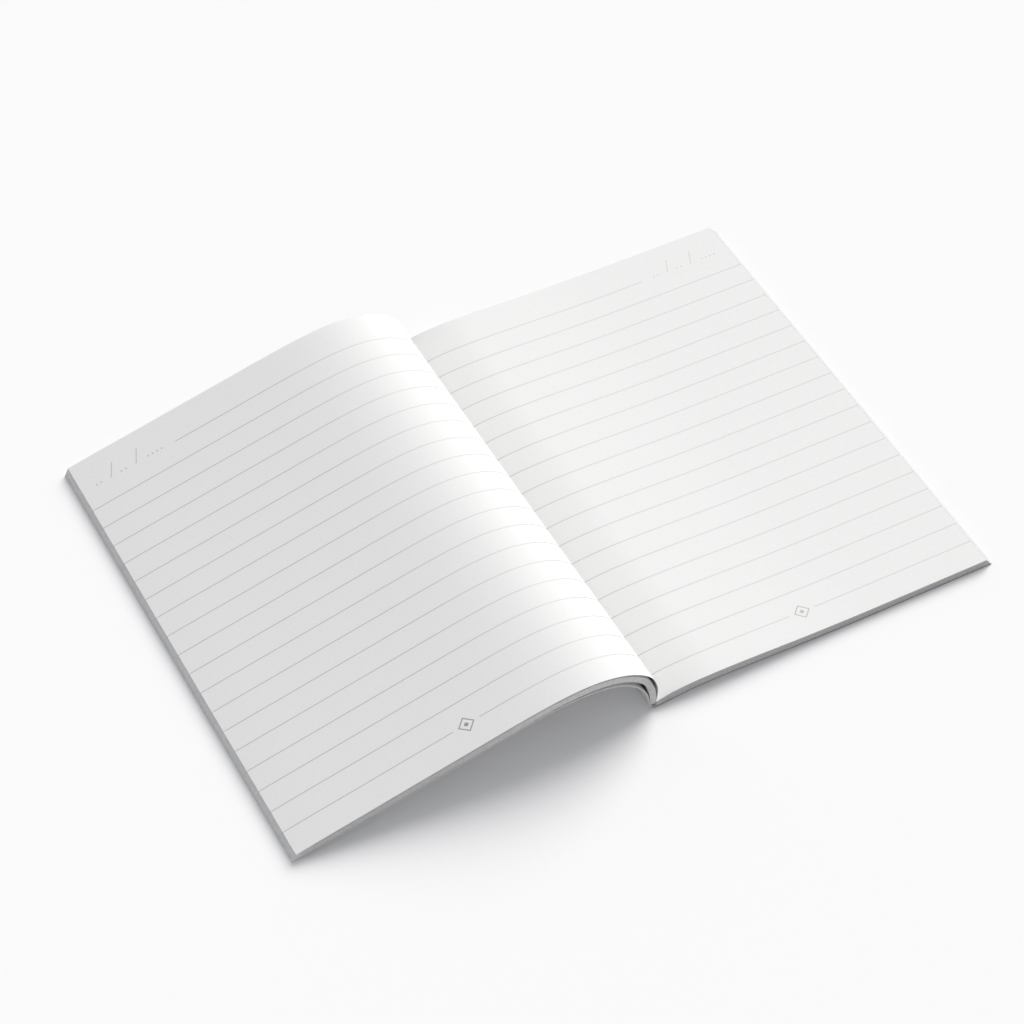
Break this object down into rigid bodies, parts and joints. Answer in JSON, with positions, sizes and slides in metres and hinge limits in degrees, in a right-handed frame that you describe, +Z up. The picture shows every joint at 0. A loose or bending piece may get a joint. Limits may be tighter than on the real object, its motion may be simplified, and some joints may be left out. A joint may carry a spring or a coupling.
{
  "type": "softcover ruled notebook",
  "caption": "Open softcover notebook with ruled leaves glued in a scored card cover; one half lies flat, the other arches up from the gutter, and it closes.",
  "frame": {"origin": "middle of the bounding box in plan, on the table the notebook lies on", "axes": "+X across the open spread from the arched half to the flat half, +Y from the tail of the pages to the head, +Z up"},
  "size_m": [0.2966, 0.21, 0.0292],
  "materials": {
    "paper": "uncoated",
    "cover_card": "uncoated, satin",
    "binding_glue": "hot-melt adhesive, satin"
  },
  "bodies": {
    "back_cover": {"cover_back": "cover_card", "binding_glue_back": "binding_glue"},
    "left_half": {"cover_front": "cover_card", "leaf_left_01": "paper", "leaf_left_02": "paper", "leaf_left_03": "paper", "leaf_left_04": "paper", "leaf_left_05": "paper", "leaf_left_06": "paper", "leaf_left_07": "paper", "leaf_left_08": "paper", "leaf_left_09": "paper", "leaf_left_10": "paper", "leaf_left_11": "paper", "leaf_left_12": "paper", "leaf_left_13": "paper", "leaf_left_14": "paper", "leaf_left_15": "paper", "leaf_left_16": "paper", "leaf_left_17": "paper", "leaf_left_18": "paper", "leaf_left_19": "paper", "leaf_left_20": "paper", "leaf_left_21": "paper", "leaf_left_22": "paper", "leaf_left_23": "paper", "leaf_left_24": "paper"},
    "spine": {"cover_spine": "cover_card", "binding_glue_front": "binding_glue"},
    "hinge_strip": {"cover_hinge": "cover_card"},
    "page_right_01": {"leaf_right_01": "paper"},
    "page_right_02": {"leaf_right_02": "paper"},
    "page_right_03": {"leaf_right_03": "paper"},
    "page_right_04": {"leaf_right_04": "paper"},
    "page_right_05": {"leaf_right_05": "paper"},
    "page_right_06": {"leaf_right_06": "paper"},
    "page_right_07": {"leaf_right_07": "paper"},
    "page_right_08": {"leaf_right_08": "paper"},
    "page_right_09": {"leaf_right_09": "paper"},
    "page_right_10": {"leaf_right_10": "paper"},
    "page_right_11": {"leaf_right_11": "paper"},
    "page_right_12": {"leaf_right_12": "paper"},
    "page_right_13": {"leaf_right_13": "paper"},
    "page_right_14": {"leaf_right_14": "paper"},
    "page_right_15": {"leaf_right_15": "paper"},
    "page_right_16": {"leaf_right_16": "paper"},
    "page_right_17": {"leaf_right_17": "paper"},
    "page_right_18": {"leaf_right_18": "paper"},
    "page_right_19": {"leaf_right_19": "paper"},
    "page_right_20": {"leaf_right_20": "paper"},
    "page_right_21": {"leaf_right_21": "paper"},
    "page_right_22": {"leaf_right_22": "paper"},
    "page_right_23": {"leaf_right_23": "paper"},
    "page_right_24": {"leaf_right_24": "paper"}
  },
  "joints": [
    {"name": "left_half_close", "type": "hinge", "parent": "back_cover", "child": "left_half", "pos_m": [0.00045, 0, 0.00405], "axis": [0, 1, 0], "range_deg": [0, 180], "deforming": ["leaf_left_01", "leaf_left_02", "leaf_left_03", "leaf_left_04", "leaf_left_05", "leaf_left_06", "leaf_left_07", "leaf_left_08", "leaf_left_09", "leaf_left_10", "leaf_left_11", "leaf_left_12", "leaf_left_13", "leaf_left_14", "leaf_left_15", "leaf_left_16", "leaf_left_17", "leaf_left_18", "leaf_left_19", "leaf_left_20", "leaf_left_21", "leaf_left_22", "leaf_left_23", "leaf_left_24", "cover_front"]},
    {"name": "spine_turn", "type": "hinge", "parent": "back_cover", "child": "spine", "pos_m": [-0.0007, 0, 0.00005], "axis": [0, 1, 0], "range_deg": [0, 19.6]},
    {"name": "hinge_turn", "type": "hinge", "parent": "spine", "child": "hinge_strip", "pos_m": [-0.00338, 0, 0.00756], "axis": [0, 1, 0], "range_deg": [0, 95.4], "deforming": ["cover_hinge"]},
    {"name": "turn_right_01", "type": "hinge", "parent": "back_cover", "child": "page_right_01", "pos_m": [0.00052, 0, 0.00408], "axis": [0, 1, 0], "range_deg": [-32, 0]},
    {"name": "turn_right_02", "type": "hinge", "parent": "back_cover", "child": "page_right_02", "pos_m": [0.00052, 0, 0.00395], "axis": [0, 1, 0], "range_deg": [-30.67, 0]},
    {"name": "turn_right_03", "type": "hinge", "parent": "back_cover", "child": "page_right_03", "pos_m": [0.00052, 0, 0.00381], "axis": [0, 1, 0], "range_deg": [-29.33, 0]},
    {"name": "turn_right_04", "type": "hinge", "parent": "back_cover", "child": "page_right_04", "pos_m": [0.00052, 0, 0.00368], "axis": [0, 1, 0], "range_deg": [-28, 0]},
    {"name": "turn_right_05", "type": "hinge", "parent": "back_cover", "child": "page_right_05", "pos_m": [0.00052, 0, 0.00354], "axis": [0, 1, 0], "range_deg": [-26.67, 0]},
    {"name": "turn_right_06", "type": "hinge", "parent": "back_cover", "child": "page_right_06", "pos_m": [0.00052, 0, 0.00341], "axis": [0, 1, 0], "range_deg": [-25.33, 0]},
    {"name": "turn_right_07", "type": "hinge", "parent": "back_cover", "child": "page_right_07", "pos_m": [0.00052, 0, 0.00327], "axis": [0, 1, 0], "range_deg": [-24, 0]},
    {"name": "turn_right_08", "type": "hinge", "parent": "back_cover", "child": "page_right_08", "pos_m": [0.00052, 0, 0.00314], "axis": [0, 1, 0], "range_deg": [-22.67, 0]},
    {"name": "turn_right_09", "type": "hinge", "parent": "back_cover", "child": "page_right_09", "pos_m": [0.00052, 0, 0.003], "axis": [0, 1, 0], "range_deg": [-21.33, 0]},
    {"name": "turn_right_10", "type": "hinge", "parent": "back_cover", "child": "page_right_10", "pos_m": [0.00052, 0, 0.00287], "axis": [0, 1, 0], "range_deg": [-20, 0]},
    {"name": "turn_right_11", "type": "hinge", "parent": "back_cover", "child": "page_right_11", "pos_m": [0.00052, 0, 0.00273], "axis": [0, 1, 0], "range_deg": [-18.67, 0]},
    {"name": "turn_right_12", "type": "hinge", "parent": "back_cover", "child": "page_right_12", "pos_m": [0.00052, 0, 0.0026], "axis": [0, 1, 0], "range_deg": [-17.33, 0]},
    {"name": "turn_right_13", "type": "hinge", "parent": "back_cover", "child": "page_right_13", "pos_m": [0.00052, 0, 0.00246], "axis": [0, 1, 0], "range_deg": [-16, 0]},
    {"name": "turn_right_14", "type": "hinge", "parent": "back_cover", "child": "page_right_14", "pos_m": [0.00052, 0, 0.00233], "axis": [0, 1, 0], "range_deg": [-14.67, 0]},
    {"name": "turn_right_15", "type": "hinge", "parent": "back_cover", "child": "page_right_15", "pos_m": [0.00052, 0, 0.00219], "axis": [0, 1, 0], "range_deg": [-13.33, 0]},
    {"name": "turn_right_16", "type": "hinge", "parent": "back_cover", "child": "page_right_16", "pos_m": [0.00052, 0, 0.00206], "axis": [0, 1, 0], "range_deg": [-12, 0]},
    {"name": "turn_right_17", "type": "hinge", "parent": "back_cover", "child": "page_right_17", "pos_m": [0.00052, 0, 0.00192], "axis": [0, 1, 0], "range_deg": [-10.67, 0]},
    {"name": "turn_right_18", "type": "hinge", "parent": "back_cover", "child": "page_right_18", "pos_m": [0.00052, 0, 0.00179], "axis": [0, 1, 0], "range_deg": [-9.33, 0]},
    {"name": "turn_right_19", "type": "hinge", "parent": "back_cover", "child": "page_right_19", "pos_m": [0.00052, 0, 0.00165], "axis": [0, 1, 0], "range_deg": [-8, 0]},
    {"name": "turn_right_20", "type": "hinge", "parent": "back_cover", "child": "page_right_20", "pos_m": [0.00052, 0, 0.00152], "axis": [0, 1, 0], "range_deg": [-6.67, 0]},
    {"name": "turn_right_21", "type": "hinge", "parent": "back_cover", "child": "page_right_21", "pos_m": [0.00052, 0, 0.00138], "axis": [0, 1, 0], "range_deg": [-5.33, 0]},
    {"name": "turn_right_22", "type": "hinge", "parent": "back_cover", "child": "page_right_22", "pos_m": [0.00052, 0, 0.00125], "axis": [0, 1, 0], "range_deg": [-4, 0]},
    {"name": "turn_right_23", "type": "hinge", "parent": "back_cover", "child": "page_right_23", "pos_m": [0.00052, 0, 0.00111], "axis": [0, 1, 0], "range_deg": [-2.67, 0]},
    {"name": "turn_right_24", "type": "hinge", "parent": "back_cover", "child": "page_right_24", "pos_m": [0.00052, 0, 0.00098], "axis": [0, 1, 0], "range_deg": [-1.33, 0]}
  ],
  "couplings": [
    {"joint": "spine_turn", "follows": "left_half_close", "ratio": 0.10889},
    {"joint": "hinge_turn", "follows": "left_half_close", "ratio": 0.53},
    {"joint": "turn_right_02", "follows": "turn_right_01", "ratio": 0.95833},
    {"joint": "turn_right_03", "follows": "turn_right_01", "ratio": 0.91667},
    {"joint": "turn_right_04", "follows": "turn_right_01", "ratio": 0.875},
    {"joint": "turn_right_05", "follows": "turn_right_01", "ratio": 0.83333},
    {"joint": "turn_right_06", "follows": "turn_right_01", "ratio": 0.79167},
    {"joint": "turn_right_07", "follows": "turn_right_01", "ratio": 0.75},
    {"joint": "turn_right_08", "follows": "turn_right_01", "ratio": 0.70833},
    {"joint": "turn_right_09", "follows": "turn_right_01", "ratio": 0.66667},
    {"joint": "turn_right_10", "follows": "turn_right_01", "ratio": 0.625},
    {"joint": "turn_right_11", "follows": "turn_right_01", "ratio": 0.58333},
    {"joint": "turn_right_12", "follows": "turn_right_01", "ratio": 0.54167},
    {"joint": "turn_right_13", "follows": "turn_right_01", "ratio": 0.5},
    {"joint": "turn_right_14", "follows": "turn_right_01", "ratio": 0.45833},
    {"joint": "turn_right_15", "follows": "turn_right_01", "ratio": 0.41667},
    {"joint": "turn_right_16", "follows": "turn_right_01", "ratio": 0.375},
    {"joint": "turn_right_17", "follows": "turn_right_01", "ratio": 0.33333},
    {"joint": "turn_right_18", "follows": "turn_right_01", "ratio": 0.29167},
    {"joint": "turn_right_19", "follows": "turn_right_01", "ratio": 0.25},
    {"joint": "turn_right_20", "follows": "turn_right_01", "ratio": 0.20833},
    {"joint": "turn_right_21", "follows": "turn_right_01", "ratio": 0.16667},
    {"joint": "turn_right_22", "follows": "turn_right_01", "ratio": 0.125},
    {"joint": "turn_right_23", "follows": "turn_right_01", "ratio": 0.083333},
    {"joint": "turn_right_24", "follows": "turn_right_01", "ratio": 0.041667}
  ]
}
